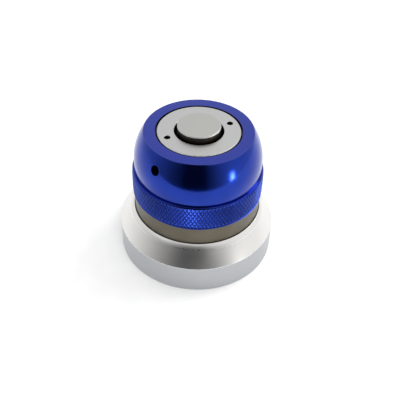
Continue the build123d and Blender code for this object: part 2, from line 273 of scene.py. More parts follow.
class Nodes:
    """A node tree that is filled from left to right."""

    def __init__(self, tree: bpy.types.NodeTree) -> None:
        """Start on a tree, keeping whatever it holds."""
        self.tree = tree
        self.count = 0

    def add(self, kind: str, **inputs: object) -> bpy.types.Node:
        """Add a node, with its attributes and inputs given by name.

        Args:
            kind: Blender's node type without the ShaderNode prefix.
            inputs: attributes by their names, and sockets by names that start with a
                capital and have underscores for spaces.

        Returns:
            The new node.
        """
        node = self.tree.nodes.new("ShaderNode" + kind)
        node.location = (200 * self.count, 0)
        self.count += 1
        for key, value in inputs.items():
            if key[0].islower():
                setattr(node, key, value)
        for key, value in inputs.items():
            if key[0].isupper():
                self.set(node, key.replace("_", " "), value)
        return node

    def set(self, node: bpy.types.Node, socket: str | int, value: object) -> None:
        """Give one input a value, or link another node's socket to it.

        Args:
            node: the node that is fed.
            socket: the input's name or number.
            value: a number, a colour or another node's socket.
        """
        if isinstance(value, bpy.types.NodeSocket):
            self.tree.links.new(value, node.inputs[socket])
        else:
            node.inputs[socket].default_value = value

    def math(self, operation: str, *values: object, clamp: bool = False) -> bpy.types.NodeSocket:
        """One sum.

        Args:
            operation: Blender's name for the sum.
            values: up to three numbers or sockets.
            clamp: whether the result is kept between 0 and 1.

        Returns:
            The result.
        """
        node = self.add("Math", operation=operation, use_clamp=clamp)
        for k, value in enumerate(values):
            self.set(node, k, value)
        return node.outputs[0]

    def plus(self, base: object, value: object, share: float) -> bpy.types.NodeSocket:
        """Base plus a share of a value."""
        return self.math("MULTIPLY_ADD", value, share, base)

    def between(self, share: object, start: object, end: object) -> bpy.types.NodeSocket:
        """Number start at share 0 and number end at share 1."""
        return self.math("MULTIPLY_ADD", share, self.math("SUBTRACT", end, start), start)

    def vector(self, operation: str, vector: object, by: object) -> bpy.types.NodeSocket:
        """One vector sum.

        Args:
            operation: ADD, MULTIPLY or SCALE.
            vector: the first vector.
            by: the second vector, or the number that scales the first.

        Returns:
            The resulting vector.
        """
        node = self.add("VectorMath", operation=operation)
        self.set(node, 0, vector)
        self.set(node, "Scale" if operation == "SCALE" else 1, by)
        return node.outputs[0]

    def length(self, vector: bpy.types.NodeSocket) -> bpy.types.NodeSocket:
        """Length of a vector."""
        node = self.add("VectorMath", operation="LENGTH")
        self.set(node, 0, vector)
        return node.outputs["Value"]

    def place(self) -> bpy.types.NodeSocket:
        """A point's object coordinates."""
        return self.add("TexCoord").outputs["Object"]

    def radius(self) -> bpy.types.NodeSocket:
        """A point's distance from the tool's axis."""
        return self.length(self.vector("MULTIPLY", self.place(), (1, 1, 0)))

    def height(self) -> bpy.types.NodeSocket:
        """A point's height."""
        return self.add("SeparateXYZ", Vector=self.place()).outputs["Z"]

    def ramp(
        self, value: object, low: float, high: float, to_low: float = 0.0, to_high: float = 1.0
    ) -> bpy.types.NodeSocket:
        """Take a value smoothly from one range into another.

        Args:
            value: the value.
            low: start of its range.
            high: end of its range.
            to_low: result at the start and before it.
            to_high: result at the end and past it.

        Returns:
            The result.
        """
        node = self.add("MapRange", interpolation_type="SMOOTHSTEP", clamp=True)
        for k, number in enumerate((value, low, high, to_low, to_high)):
            self.set(node, k, number)
        return node.outputs[0]

    def above(self, level: float, blur: float = BLUR) -> bpy.types.NodeSocket:
        """1 above a height and 0 below it."""
        return self.ramp(self.height(), level - blur, level + blur)

    def mix(self, share: object, start: object, end: object) -> bpy.types.NodeSocket:
        """Mix two colours.

        Args:
            share: 0 for the first colour and 1 for the second.
            start: the first colour.
            end: the second colour.

        Returns:
            The mixed colour.
        """
        node = self.add("Mix", data_type="RGBA")
        for socket, value in ((0, share), (6, start), (7, end)):
            self.set(node, socket, value)
        return node.outputs[2]


def new_group(name: str, inputs: dict[str, float], outputs: list[str]) -> tuple[Nodes, object, object]:
    """Start a shared shader group of numbers.

    Args:
        name: name of the group.
        inputs: input sockets with their usual values.
        outputs: output sockets.

    Returns:
        The group's nodes, its input node and its output node.
    """
    tree = bpy.data.node_groups.new(name, "ShaderNodeTree")
    for label, value in inputs.items():
        socket = tree.interface.new_socket(label, in_out="INPUT", socket_type="NodeSocketFloat")
        socket.default_value = value
    for label in outputs:
        tree.interface.new_socket(label, in_out="OUTPUT", socket_type="NodeSocketFloat")
    return Nodes(tree), tree.nodes.new("NodeGroupInput"), tree.nodes.new("NodeGroupOutput")


class SharedGroups:
    """The shader groups that the finishes share, each built once."""

    def __init__(self) -> None:
        """Build all groups."""
        self.marks = self.turning_marks()
        self.grain = self.blast_grain()
        self.wear = self.edge_wear()
        self.handling = self.handling_marks()

    @staticmethod
    def turning_marks() -> bpy.types.NodeTree:
        """Fine rings left by a lathe tool, the same all round the axis.

        Returns:
            A group that puts out Height, for a bump, and Tone, for colour and roughness.
        """
        nodes, given, put = new_group("turning_marks", {"Pitch": 0.12 * MM, "Waver": 0.2}, ["Height", "Tone"])
        section = nodes.add("CombineXYZ", X=nodes.radius(), Y=nodes.height())
        per = nodes.math("DIVIDE", 1.0, given.outputs["Pitch"])
        across = nodes.vector("SCALE", section.outputs[0], per)
        sway = nodes.add("TexNoise", Scale=90.0, Detail=1.0, Vector=nodes.place())
        shift = nodes.vector("SCALE", sway.outputs["Color"], given.outputs["Waver"])
        swayed = nodes.vector("ADD", across, shift)
        fine = nodes.add("TexNoise", Scale=1.0, Detail=3.0, Roughness=0.6, Vector=swayed)
        wide = nodes.vector("SCALE", across, 0.13)
        broad = nodes.add("TexNoise", Scale=1.0, Detail=2.0, Vector=wide)
        nodes.set(put, "Height", fine.outputs["Fac"])
        nodes.set(put, "Tone", nodes.between(0.4, fine.outputs["Fac"], broad.outputs["Fac"]))
        return nodes.tree

    @staticmethod
    def blast_grain() -> bpy.types.NodeTree:
        """Matt grain of a bead-blasted or moulded surface.

        Returns:
            A group that puts out Height and Tone.
        """
        nodes, given, put = new_group("blast_grain", {"Size": 0.14 * MM}, ["Height", "Tone"])
        place = nodes.place()
        per = nodes.math("DIVIDE", 1.0, given.outputs["Size"])
        grain = nodes.add("TexNoise", Detail=2.0, Roughness=0.55, Vector=place, Scale=per)
        cloud = nodes.add("TexNoise", Detail=2.0, Vector=place, Scale=110.0)
        nodes.set(put, "Height", grain.outputs["Fac"])
        nodes.set(put, "Tone", nodes.ramp(cloud.outputs["Fac"], 0.3, 0.7))
        return nodes.tree

    @staticmethod
    def edge_wear() -> bpy.types.NodeTree:
        """Broken wear along one turned edge, given by its radius and height.

        Returns:
            A group that puts out Mask.
        """
        usual = {"Radius": 0.01, "Level": 0.01, "Reach": 0.3 * MM}
        nodes, given, put = new_group("edge_wear", usual, ["Mask"])
        out = nodes.math("SUBTRACT", nodes.radius(), given.outputs["Radius"])
        up = nodes.math("SUBTRACT", nodes.height(), given.outputs["Level"])
        away = nodes.length(nodes.add("CombineXYZ", X=out, Y=up).outputs[0])
        share = nodes.math("DIVIDE", away, given.outputs["Reach"])
        chips = nodes.add("TexNoise", Scale=900.0, Detail=3.0, Vector=nodes.place())
        reach = nodes.math("SUBTRACT", nodes.ramp(share, 0.2, 1.0, 1.0, 0.0),
                           nodes.ramp(chips.outputs["Fac"], 0.35, 0.65, 0.0, 0.55))
        nodes.set(put, "Mask", nodes.math("MAXIMUM", reach, 0.0))
        return nodes.tree

    @staticmethod
    def handling_marks() -> bpy.types.NodeTree:
        """Faint smears and hair scratches of a tool that is handled.

        Returns:
            A group that puts out Smear and Scratch.
        """
        nodes, given, put = new_group("handling_marks", {"Scale": 1.0}, ["Smear", "Scratch"])
        scaled = nodes.vector("SCALE", nodes.place(), given.outputs["Scale"])
        cloud = nodes.add("TexNoise", Scale=70.0, Detail=4.0, Roughness=0.6, Distortion=0.6, Vector=scaled)
        nodes.set(put, "Smear", nodes.ramp(cloud.outputs["Fac"], 0.42, 0.72))
        drawn = nodes.add("Mapping", Vector=scaled, Rotation=(0.4, 0.9, 0.5), Scale=(60.0, 1500.0, 900.0))
        hair = nodes.add("TexNoise", Scale=1.0, Detail=1.0, Vector=drawn.outputs[0])
        nodes.set(put, "Scratch", nodes.ramp(hair.outputs["Fac"], 0.70, 0.78))
        return nodes.tree


SHARED = SharedGroups()


class Material:
    """One procedural material under construction."""

    def __init__(self, name: str) -> None:
        """Start an empty material with a Principled shader."""
        self.data = bpy.data.materials.new(name)
        self.data.use_nodes = True
        self.nodes = Nodes(self.data.node_tree)
        self.shader = self.data.node_tree.nodes["Principled BSDF"]

    def group(self, tree: bpy.types.NodeTree, **inputs: float) -> bpy.types.Node:
        """Place a shared group with its own values."""
        return self.nodes.add("Group", node_tree=tree, **inputs)

    def put(self, **inputs: object) -> None:
        """Set or link the Principled shader's inputs."""
        for key, value in inputs.items():
            self.nodes.set(self.shader, key.replace("_", " "), value)

    def bump(self, layers: list[tuple[object, float]]) -> None:
        """Stack bumps under the shader's normal.

        Args:
            layers: pairs of height socket and depth in metres.
        """
        normal = None
        for height, depth in layers:
            node = self.nodes.add("Bump", Height=height, Distance=depth, Strength=1.0)
            if normal is not None:
                self.nodes.set(node, "Normal", normal)
            normal = node.outputs[0]
        self.put(Normal=normal)

    def worn_edges(self, edges: Iterable[Point], reach: float) -> object:
        """Wear along several turned edges.

        Args:
            edges: (radius, height) of each edge.
            reach: how far from an edge the wear spreads.

        Returns:
            The strongest wear, or 0 where there are no edges.
        """
        mask: object = 0.0
        for radius, height in edges:
            node = self.group(SHARED.wear, Radius=radius, Level=height, Reach=reach)
            mask = self.nodes.math("MAXIMUM", mask, node.outputs["Mask"])
        return mask


@dataclass(frozen=True)
class TurnedMetal:
    """Bare metal off a lathe, with rings of tool marks, and painted shade below a given level where one is
    set.
    """

    name: str
    colour: Colour
    roughness: float
    pitch: float = 0.12 * MM
    depth: float = 0.004 * MM
    mark_spread: float = 0.16
    smear_spread: float = 0.05
    polished_above: float | None = None
    polished_roughness: float = 0.12
    polished_colour: Colour = (0.66, 0.66, 0.66)
    # Painted shade: below this level the metal takes the dark colour on the next line, in place of the shade
    # on sides, pocket walls and holes.
    unshaded_above: float | None = None
    shade_paint: Colour = (0.02, 0.02, 0.02)
    edges: tuple[Point, ...] = ()
    wear_reach: float = 0.35 * MM
    worn_colour: Colour = (0.86, 0.86, 0.86)

    def build(self) -> bpy.types.Material:
        """Make the material.

        Returns:
            The material.
        """
        made = Material(self.name)
        nodes = made.nodes
        marks = made.group(SHARED.marks, Pitch=self.pitch, Waver=0.15)
        handled = made.group(SHARED.handling)
        tone = nodes.ramp(marks.outputs["Tone"], 0.3, 0.7, -0.5, 0.5)
        rough = nodes.plus(self.roughness, tone, self.mark_spread)
        colour = nodes.mix(marks.outputs["Tone"], paint(self.colour, 0.90), paint(self.colour, 1.10))
        ridges = marks.outputs["Height"]
        if self.polished_above is not None:
            polished = nodes.above(self.polished_above)
            colour = nodes.mix(polished, colour, paint(self.polished_colour))
            rough = nodes.between(polished, rough, nodes.plus(self.polished_roughness, tone, 0.05))
            ridges = nodes.math("MULTIPLY", ridges, nodes.plus(1.0, polished, -0.8))
        rough = nodes.plus(rough, handled.outputs["Smear"], self.smear_spread)
        worn = made.worn_edges(self.edges, self.wear_reach)
        colour = nodes.mix(worn, colour, paint(self.worn_colour))
        # Painted shade: below the given level the colour is swapped for a dark one, in place of the shade
        # that falls on sides, pocket walls and holes.
        if self.unshaded_above is not None:
            colour = nodes.mix(nodes.above(self.unshaded_above, 0.06 * MM), paint(self.shade_paint), colour)
        rough = nodes.math("MULTIPLY_ADD", worn, -0.08, rough, clamp=True)
        made.put(Base_Color=colour, Metallic=1.0, Roughness=rough)
        made.bump([(ridges, self.depth), (handled.outputs["Scratch"], -0.5 * self.depth)])
        return made.data


@dataclass(frozen=True)
class Anodised:
    """Dyed anodised aluminium: a tinted metal under a thin clear oxide, with painted light on its top and
    painted shade in its bore where these are set.
    """

    name: str
    colour: Colour
    roughness: float
    coat: float
    coat_roughness: float
    grain: float = 0.14 * MM
    grain_depth: float = 0.002 * MM
    marks_depth: float = 0.0015 * MM
    scratch_depth: float = 0.001 * MM
    mark_spread: float = 0.10
    smear_spread: float = 0.06
    bare: Colour = (0.55, 0.57, 0.62)
    edges: tuple[Point, ...] = ()
    wear_reach: float = 0.3 * MM
    worn_share: float = 0.35
    # Painted light on the top: above a level the colour is swapped, paler for a painted sheen on the dome's
    # flat top, darker for painted shade on the band's top chamfer.
    painted_top_shading: tuple[float, Colour] | None = None
    top_shading_reach: float = 0.12 * MM
    face_roughness: float | None = None
    # Painted shade: a dark colour inside this radius, in place of the shade in the bore.
    painted_bore_shade: tuple[float, Colour] | None = None

    def build(self) -> bpy.types.Material:
        """Make the material.

        Returns:
            The material.
        """
        made = Material(self.name)
        nodes = made.nodes
        grain = made.group(SHARED.grain, Size=self.grain)
        marks = made.group(SHARED.marks, Pitch=0.2 * MM, Waver=0.3)
        handled = made.group(SHARED.handling)
        colour = nodes.mix(grain.outputs["Tone"], paint(self.colour, 0.92), paint(self.colour, 1.08))
        rough: object = self.roughness
        # Painted light: the top zone takes the painted colour, and its own roughness where one is given.
        if self.painted_top_shading is not None:
            level, top_paint = self.painted_top_shading
            face = nodes.above(level - self.top_shading_reach + BLUR)
            colour = nodes.mix(face, colour, paint(top_paint))
            if self.face_roughness is not None:
                rough = nodes.ramp(face, 0.0, 1.0, self.roughness, self.face_roughness)
        # Painted shade inside the bore: within the radius the colour is swapped for a dark one.
        if self.painted_bore_shade is not None:
            bore, bore_paint = self.painted_bore_shade
            inside = nodes.ramp(nodes.radius(), bore, bore + 2 * BLUR, 1.0, 0.0)
            colour = nodes.mix(inside, colour, paint(bore_paint))
        worn = nodes.math("MULTIPLY", made.worn_edges(self.edges, self.wear_reach), self.worn_share)
        colour = nodes.mix(worn, colour, paint(self.bare))
        uneven = nodes.math("SUBTRACT", marks.outputs["Tone"], 0.5)
        rough = nodes.plus(rough, uneven, self.mark_spread)
        rough = nodes.plus(rough, handled.outputs["Smear"], self.smear_spread)
        made.put(Base_Color=colour, Metallic=1.0, Roughness=rough)
        made.put(Coat_Weight=self.coat, Coat_Roughness=self.coat_roughness, Coat_IOR=1.6)
        made.bump([
            (grain.outputs["Height"], self.grain_depth),
            (marks.outputs["Height"], self.marks_depth),
            (handled.outputs["Scratch"], -self.scratch_depth),
        ])
        return made.data


@dataclass(frozen=True)
class Moulded:
    """Moulded or blackened surface with a fine grain."""

    name: str
    colour: Colour
    roughness: float
    grain: float = 0.2 * MM
    grain_depth: float = 0.01 * MM
    smear_spread: float = 0.12

    def build(self) -> bpy.types.Material:
        """Make the material.

        Returns:
            The material.
        """
        made = Material(self.name)
        nodes = made.nodes
        grain = made.group(SHARED.grain, Size=self.grain)
        handled = made.group(SHARED.handling, Scale=1.5)
        colour = nodes.mix(grain.outputs["Tone"], paint(self.colour, 0.86), paint(self.colour))
        rough = nodes.plus(self.roughness, handled.outputs["Smear"], self.smear_spread)
        made.put(Base_Color=colour, Roughness=rough, IOR=1.5)
        made.bump([(grain.outputs["Height"], self.grain_depth)])
        return made.data


@dataclass(frozen=True)
class DrawnWire:
    """Hard drawn spring wire with a faint oxide bloom."""

    name: str
    colour: Colour = (0.48, 0.48, 0.49)
    bloom: Colour = (0.384, 0.3552, 0.3234)
    roughness: float = 0.28
    grain_spread: float = 0.12
    grain_depth: float = 0.003 * MM

    def build(self) -> bpy.types.Material:
        """Make the material.

        Returns:
            The material.
        """
        made = Material(self.name)
        nodes = made.nodes
        grain = made.group(SHARED.grain, Size=0.08 * MM)
        handled = made.group(SHARED.handling, Scale=2.5)
        colour = nodes.mix(handled.outputs["Smear"], paint(self.colour), paint(self.bloom))
        rough = nodes.plus(self.roughness, grain.outputs["Tone"], self.grain_spread)
        made.put(Base_Color=colour, Metallic=1.0, Roughness=rough)
        made.bump([(grain.outputs["Height"], self.grain_depth)])
        return made.data


# ---------------- sizes from the frame
def outer_radius(node: str) -> float:
    """Outer radius of a turned CAD node."""
    low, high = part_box(node)
    return (high.x - low.x) / 2


def bottom(node: str) -> float:
    """Lowest height of a CAD node."""
    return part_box(node)[0].z


def top(node: str) -> float:
    """Highest height of a CAD node."""
    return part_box(node)[1].z


def extent(node: str) -> tuple[float, float, float]:
    """Outer radius, lowest and highest height of a turned CAD node."""
    return outer_radius(node), bottom(node), top(node)


def finish_piece(
    piece: bpy.types.Object, body: Body, material: bpy.types.Material, node: str
) -> None:
    """Dress a new piece, seat it on its body and hide the CAD node it stands for.

    Args:
        piece: the finished mesh object.
        body: the body that it rides on.
        material: its material.
        node: the CAD node that it replaces.
    """
    piece.data.materials.clear()
    piece.data.materials.append(material)
    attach(piece, body.value)
    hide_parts(node)
    LOG.info("%s: %d faces on %s", piece.name, len(piece.data.polygons), body.value)


# ---------------- levelling ring
@dataclass
class LevellingRing:
    """Silver ring that stands on the basket's rim, with its polished cone and lip."""

    wall_height: float = 13.35 * MM
    cone_start: Point = (34.85 * MM, 13.55 * MM)
    lip: Point = (30.4 * MM, 20.5 * MM)
    mouth_radius: float = 28.12 * MM
    groove: tuple[float, float, float] = (29.5 * MM, 17.2 * MM, 20.2 * MM)
    chamber: Point = (31.2 * MM, 16.2 * MM)
    seat: Point = (32.3 * MM, 2.4 * MM)
    chamfer: float = 0.3 * MM
    rounding: float = 0.12 * MM

    def build(self) -> None:
        """Turn the ring and dress it."""
        radius, low, high = extent("levelling_ring")
        groove_radius, groove_low, groove_high = self.groove
        chamber_radius, chamber_roof = self.chamber
        outline = [
            (self.seat[0] + self.chamfer, low),
            (radius - self.chamfer, low),
            (radius, low + self.chamfer),
            (radius, self.wall_height / 2),
            (radius, self.wall_height),
            self.cone_start,
            self.lip,
            (self.mouth_radius + self.chamfer, high),
            (self.mouth_radius, high - self.chamfer),
            (self.mouth_radius, groove_high),
            (groove_radius, groove_high),
            (groove_radius, groove_low),
            (self.mouth_radius, groove_low),
            (self.mouth_radius, chamber_roof),
            (chamber_radius, chamber_roof),
            (chamber_radius, self.seat[1]),
            self.seat,
            (self.seat[0], low + self.chamfer),
        ]
        piece = turned_piece("levelling_ring_turned", outline, self.rounding, 3)
        steel = TurnedMetal(
            "satin_ring_steel",
            colour=srgb(181, 183, 186),
            roughness=0.34,
            depth=0.003 * MM,
            polished_above=self.cone_start[1] - BLUR,
            polished_roughness=0.30,
            polished_colour=srgb(224, 223, 220),
            edges=((radius, self.wall_height), self.lip, (radius, low)),
        )
        finish_piece(piece, Body.RING, steel.build(), "levelling_ring")


# ---------------- handle
@dataclass
class InnerBody:
    """Bronze-grey cylinder that slides in the ring, with its snap ring groove and spigot."""

    groove: tuple[float, float, float] = (26.8 * MM, 14.15 * MM, 15.45 * MM)
    bush: Point = (9.05 * MM, 16.0 * MM)
    flange_radius: float = 11.55 * MM
    room_radius: float = 21.0 * MM
    web_top: float = 17.0 * MM
    spigot_radius: float = 24.2 * MM
    chamfer: float = 0.3 * MM
    spigot_chamfer: float = 0.5 * MM
    rounding: float = 0.08 * MM

    def build(self) -> None:
        """Turn the body and dress it."""
        radius, low, high = extent("inner_body")
        shoulder = bottom("knurled_band")
        groove_radius, groove_low, groove_high = self.groove
        outline = [
            (self.bush[0], low),
            (radius - self.chamfer, low),
            (radius, low + self.chamfer),
            (radius, groove_low),
            (groove_radius, groove_low),
            (groove_radius, groove_high),
            (radius, groove_high),
            (radius, shoulder - self.chamfer),
            (radius - self.chamfer, shoulder),
            (self.spigot_radius, shoulder),
            (self.spigot_radius, high - self.spigot_chamfer),
            (self.spigot_radius - self.spigot_chamfer, high),
            (self.room_radius, high),
            (self.room_radius, self.web_top),
            (self.flange_radius, self.web_top),
            (self.flange_radius, self.bush[1]),
            self.bush,
        ]
        piece = turned_piece("inner_body_turned", outline, self.rounding)
        bronze = Anodised(
            "bronze_anodised_body",
            colour=srgb(104, 98, 85),
            roughness=0.38,
            coat=0.12,
            coat_roughness=0.3,
            marks_depth=0.002 * MM,
            edges=((radius, shoulder),),
        )
        finish_piece(piece, Body.HANDLE, bronze.build(), "inner_body")


@dataclass
class KnurledBand:
    """Blue grip band with a raised diamond knurl between two plain edges."""

    knurl_depth: float = 0.5 * MM
    knurl_inset: float = 0.55 * MM
    columns: int = 112
    rows: int = 4
    edge: float = 0.25 * MM
    chamfer: float = 0.6 * MM
    flank: float = 0.1 * MM
    overlap: float = 0.02 * MM
    bore_radius: float = 26.35 * MM
    rounding: float = 0.06 * MM

    def knurl(self, radius: float, low: float, high: float) -> bpy.types.Object:
        """Diamond knurl as an open sleeve whose tips reach the band's outer radius.

        Each cell of a plain sleeve is poked, and dissolving the cells' own edges leaves
        diamonds, which are inset and raised one by one.

        Args:
            radius: the band's outer radius, at the tips.
            low: where the knurl starts.
            high: where it ends.

        Returns:
            The sleeve.
        """
        floor = radius - self.knurl_depth
        deselect_all()
        bpy.ops.mesh.primitive_cylinder_add(
            vertices=self.columns,
            radius=floor,
            depth=high - low,
            end_fill_type="NOTHING",
            location=(0, 0, (high + low) / 2),
        )
        sleeve = bpy.context.object
        sleeve.name = "knurl"
        settle(sleeve)
        with editing(sleeve):
            select_where(sleeve, "EDGE", lambda e: abs(e.verts[0].co.z - e.verts[1].co.z) > MERGE)
            bpy.ops.mesh.subdivide(number_cuts=self.rows - 1)
            select_where(sleeve, "EDGE", lambda e: len(e.link_faces) == 2)
            bpy.ops.mesh.mark_seam()
            bpy.ops.mesh.select_all(action="SELECT")
            bpy.ops.mesh.poke()
            select_where(sleeve, "EDGE", lambda e: e.seam)
            bpy.ops.mesh.dissolve_edges(use_verts=False)
            select_where(sleeve, "FACE", lambda f: len(f.verts) == 4)
            bpy.ops.mesh.inset(thickness=self.knurl_inset, depth=self.knurl_depth, use_individual=True)
            bpy.ops.mesh.select_all(action="SELECT")
            bpy.ops.mesh.mark_seam(clear=True)
        return sleeve

    def core(self, radius: float, low: float, high: float) -> bpy.types.Object:
        """The band's plain body, whose floor lies just under the knurl.

        Args:
            radius: the band's outer radius.
            low: its lower face.
            high: its upper face.

        Returns:
            The turned core.
        """
        floor = radius - self.knurl_depth - self.overlap
        outline = [
            (self.bore_radius, low),
            (radius - self.edge, low),
            (radius - self.flank, low + self.edge),
            (floor, low + self.edge + self.flank),
            (floor, high - self.chamfer - self.flank),
            (radius - self.flank, high - self.chamfer),
            (radius - self.chamfer, high),
            (self.bore_radius, high),
        ]
        return turned_piece("knurled_band_turned", outline, self.rounding)

    def build(self) -> None:
        """Turn the core, cut the knurl, join them and dress the band."""
        radius, low, high = extent("knurled_band")
        core = self.core(radius, low, high)
        sleeve = self.knurl(radius, low + self.edge, high - self.chamfer)
        activate(core)
        sleeve.select_set(True)
        bpy.ops.object.join()
        blue = Anodised(
            "blue_anodised_grip",
            colour=srgb(42, 69, 168),
            roughness=0.33,
            coat=0.08,
            coat_roughness=0.25,
            grain_depth=0.001 * MM,
            # Painted shade: the top chamfer, in the crease under the dome, is painted a darker blue.
            painted_top_shading=(high, srgb(28, 50, 146)),
            top_shading_reach=self.chamfer,
            face_roughness=0.14,
        )
        finish_piece(core, Body.HANDLE, blue.build(), "knurled_band")


@dataclass
class Cap:
    """Blue dome with a crisp flat top, the plate's bore and the lock screw's hole."""

    foot: Point = (27.45 * MM, 43.3 * MM)
    arc_radius: float = 25.1 * MM
    top_edge_radius: float = 23.2 * MM
    bore_radius: float = 17.65 * MM
    relief: Point = (0.65 * MM, 1.6 * MM)
    roof: float = 47.5 * MM
    cavity: Point = (22.5 * MM, 38.3 * MM)
    skirt: Point = (24.25 * MM, 26.3 * MM)
    hole_radius: float = 2.1 * MM
    hole_angle: float = 230.0           # degrees round the axis
    hole_height: float = 54.5 * MM
    roof_slope: float = 3.0 * MM
    side_steps: int = 26
    rounding: float = 0.09 * MM

    def side(self, high: float) -> list[Point]:
        """Points up the dome's side, from its foot to the crisp top edge.

        Args:
            high: height of the flat top.

        Returns:
            The arc's points, both ends among them.
        """
        (r0, z0), (r1, z1) = self.foot, (self.top_edge_radius, high)
        half = math.hypot(r1 - r0, z1 - z0) / 2
        back = math.sqrt(self.arc_radius ** 2 - half ** 2)
        middle = ((r0 + r1) / 2, (z0 + z1) / 2)
        r, z = middle[0] - back * (z1 - z0) / (2 * half), middle[1] + back * (r1 - r0) / (2 * half)
        start, end = math.atan2(z0 - z, r0 - r), math.atan2(z1 - z, r1 - r)
        angles = [start + (end - start) * k / self.side_steps for k in range(self.side_steps + 1)]
        return [(r + self.arc_radius * math.cos(a), z + self.arc_radius * math.sin(a)) for a in angles]

    def hole_drill(self) -> bpy.types.Object:
        """A drill on the lock screw's axis, through the dome's wall.

        Returns:
            The cutting shape.
        """
        angle = math.radians(self.hole_angle)
        outward = Vector((math.cos(angle), math.sin(angle), 0))
        deselect_all()
        bpy.ops.mesh.primitive_cylinder_add(
            vertices=48,
            radius=self.hole_radius,
            depth=20 * MM,
            location=outward * 26 * MM + Vector((0, 0, self.hole_height)),
            rotation=outward.to_track_quat("Z", "Y").to_euler(),
        )
        return bpy.context.object

    def build(self) -> None:
        """Turn the dome, drill it and dress it."""
        low, high = bottom("cap"), top("cap")
        seat = top("knurled_band")
        inner, outer = self.skirt
        relief_radius = self.bore_radius + self.relief[0]
        relief_floor = high - self.relief[1]
        outline = [
            (inner, low),
            (outer, low),
            (outer, seat),
            (self.foot[0], seat),
            *self.side(high),
            (relief_radius, high),
            (relief_radius, relief_floor),
            (self.bore_radius, relief_floor),
            (self.bore_radius, self.roof),
            (self.cavity[0], self.roof - self.roof_slope),
            self.cavity,
            (inner, self.cavity[1]),
        ]
        piece = turned_piece("cap_turned", outline, self.rounding, drills=[self.hole_drill()])
        blue = Anodised(
            "blue_anodised_dome",
            colour=srgb(17, 49, 150),
            roughness=0.17,
            coat=0.2,
            coat_roughness=0.08,
            # Painted sheen: the flat top is painted a paler blue.
            painted_top_shading=(high, srgb(44, 59, 154)),
            # Painted shade: the bore round the plate's seat is painted dark navy.
            painted_bore_shade=(relief_radius, srgb(10, 18, 60)),
            edges=((self.top_edge_radius, high), (relief_radius, high)),
            worn_share=0.05,
        )
        finish_piece(piece, Body.HANDLE, blue.build(), "cap")


# ---------------- top
@dataclass
class AdjusterPlate:
    """Flush silver plate with two spanner holes and the button's pocket."""

    pocket_radius: float = 10.4 * MM
    floor: float = 54.6 * MM
    bush_radius: float = 4.65 * MM
    spanner_angle: float = 24.0         # degrees round the axis
    hole_depth: float = 4.0 * MM
    drill_point: float = 0.6 * MM
    countersink: float = 0.18 * MM
    overshoot: float = 0.32 * MM
    chamfer: float = 0.3 * MM
    pocket_chamfer: float = 0.2 * MM
    rounding: float = 0.06 * MM

    def spanner_drills(self, high: float) -> list[bpy.types.Object]:
        """Drills with a small countersink for the two spanner holes.

        Args:
            high: height of the plate's face.

        Returns:
            One cutting shape for each hole.
        """
        pattern = next(m for m in frame["record"]["mounts"] if m["name"] == "spanner_sockets")
        radius = pattern["dims"]["hole_r_mm"] * MM
        pitch = pattern["dims"]["pcd_mm"] * MM / 2
        tools = []
        for k in range(int(pattern["dims"]["count"])):
            angle = math.radians(self.spanner_angle) + math.pi * k
            outline = [
                (0.0, high - self.hole_depth - self.drill_point),
                (radius, high - self.hole_depth),
                (radius, high - self.countersink),
                (radius + self.countersink + self.overshoot, high + self.overshoot),
                (0.0, high + self.overshoot),
            ]
            tool = turn_outline(f"spanner_drill_{k}", outline, 40)
            tool.location = (pitch * math.cos(angle), pitch * math.sin(angle), 0)
            bpy.context.view_layer.update()
            tools.append(tool)
        return tools

    def build(self) -> None:
        """Turn the plate, drill it and dress it."""
        radius, low, high = extent("adjuster_plate")
        outline = [
            (self.bush_radius, low),
            (radius - self.chamfer, low),
            (radius, low + self.chamfer),
            (radius, high - self.chamfer),
            (radius - self.chamfer, high),
            ((radius + self.pocket_radius) / 2, high),
            (self.pocket_radius + self.pocket_chamfer, high),
            (self.pocket_radius, high - self.pocket_chamfer),
            (self.pocket_radius, self.floor),
            (self.bush_radius, self.floor),
        ]
        drills = self.spanner_drills(high)
        piece = turned_piece("adjuster_plate_turned", outline, self.rounding, drills=drills)
        steel = TurnedMetal(
            "plate_steel_painted_shade",
            colour=srgb(187, 188, 187),
            roughness=0.36,
            pitch=0.10 * MM,
            # Painted shade: below the top face, the plate's side in its gap, the pocket wall and the spanner
            # holes are painted near black.
            unshaded_above=high - self.chamfer,
            edges=((radius, high), (self.pocket_radius, high)),
        )
        finish_piece(piece, Body.ADJUSTER, steel.build(), "adjuster_plate")


@dataclass
class Button:
    """Silver push button with a crisp chamfer and a hollow underside."""

    room: Point = (7.6 * MM, 61.4 * MM)
    boss_radius: float = 4.4 * MM
    spindle_radius: float = 2.9 * MM
    chamfer: float = 0.35 * MM
    unshaded_top_height: float = 0.45 * MM
    rounding: float = 0.06 * MM

    def build(self) -> None:
        """Turn the button and dress it."""
        radius, low, high = extent("button")
        room_radius, roof = self.room
        outline = [
            (0.0, roof),
            (self.spindle_radius, roof),
            (self.spindle_radius, low),
            (self.boss_radius, low),
            (self.boss_radius, roof),
            (room_radius, roof),
            (room_radius, low),
            (radius, low),
            (radius, high - self.chamfer),
            (radius - self.chamfer, high),
            (radius / 2, high),
            (0.0, high),
        ]
        piece = turned_piece("button_turned", outline, self.rounding)
        steel = TurnedMetal(
            "button_steel_painted_shade",
            colour=srgb(180, 181, 177),
            roughness=0.38,
            pitch=0.09 * MM,
            # Painted shade: the button's side below its top is painted dark brown, for the shade of its
            # pocket.
            unshaded_above=high - self.unshaded_top_height,
            shade_paint=srgb(86, 81, 74),
            edges=((radius, high - self.chamfer),),
        )
        finish_piece(piece, Body.BUTTON, steel.build(), "button")


